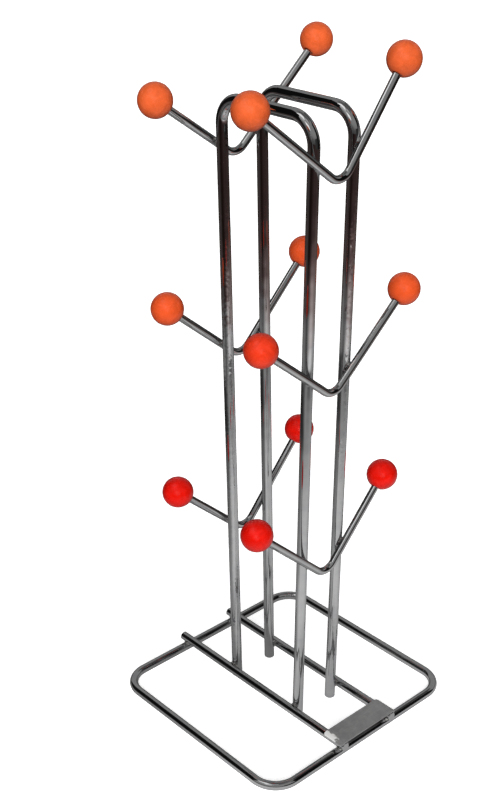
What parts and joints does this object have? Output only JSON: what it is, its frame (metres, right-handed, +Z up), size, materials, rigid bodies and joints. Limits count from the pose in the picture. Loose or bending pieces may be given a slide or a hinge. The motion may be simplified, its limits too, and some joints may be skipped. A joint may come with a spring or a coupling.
{
  "type": "mug tree",
  "caption": "Free-standing wire rack that hangs mugs by their handles on sloping arms tipped with ball knobs, over a ring base.",
  "frame": {"origin": "on the floor, under the middle of the base ring", "axes": "+Z up, -Y towards the front where the label plate is, +X to the right, along the V-shaped arm wires"},
  "size_m": [0.1676, 0.1634, 0.4349],
  "materials": {
    "chromed_wire": "bright chrome plate on round steel wire",
    "weld": "chrome plate over small weld beads, slightly duller than the wire",
    "plate": "satin grey steel plate, blank",
    "top_knob": "glossy orange moulded plastic",
    "middle_knob": "glossy orange moulded plastic",
    "bottom_knob": "glossy red moulded plastic"
  },
  "bodies": {
    "root": {"base_ring": "chromed_wire", "left_cross_rail": "chromed_wire", "right_cross_rail": "chromed_wire", "left_hoop": "chromed_wire", "right_hoop": "chromed_wire", "bottom_front_arm_wire": "chromed_wire", "bottom_rear_arm_wire": "chromed_wire", "middle_front_arm_wire": "chromed_wire", "middle_rear_arm_wire": "chromed_wire", "top_front_arm_wire": "chromed_wire", "top_rear_arm_wire": "chromed_wire", "ring_rail_welds": "weld", "rail_leg_welds": "weld", "arm_leg_welds": "weld", "plate_welds": "weld", "label_plate": "plate", "bottom_front_left_knob": "bottom_knob", "bottom_front_right_knob": "bottom_knob", "bottom_rear_left_knob": "bottom_knob", "bottom_rear_right_knob": "bottom_knob", "middle_front_left_knob": "middle_knob", "middle_front_right_knob": "middle_knob", "middle_rear_left_knob": "middle_knob", "middle_rear_right_knob": "middle_knob", "top_front_left_knob": "top_knob", "top_front_right_knob": "top_knob", "top_rear_left_knob": "top_knob", "top_rear_right_knob": "top_knob"}
  },
  "joints": []
}
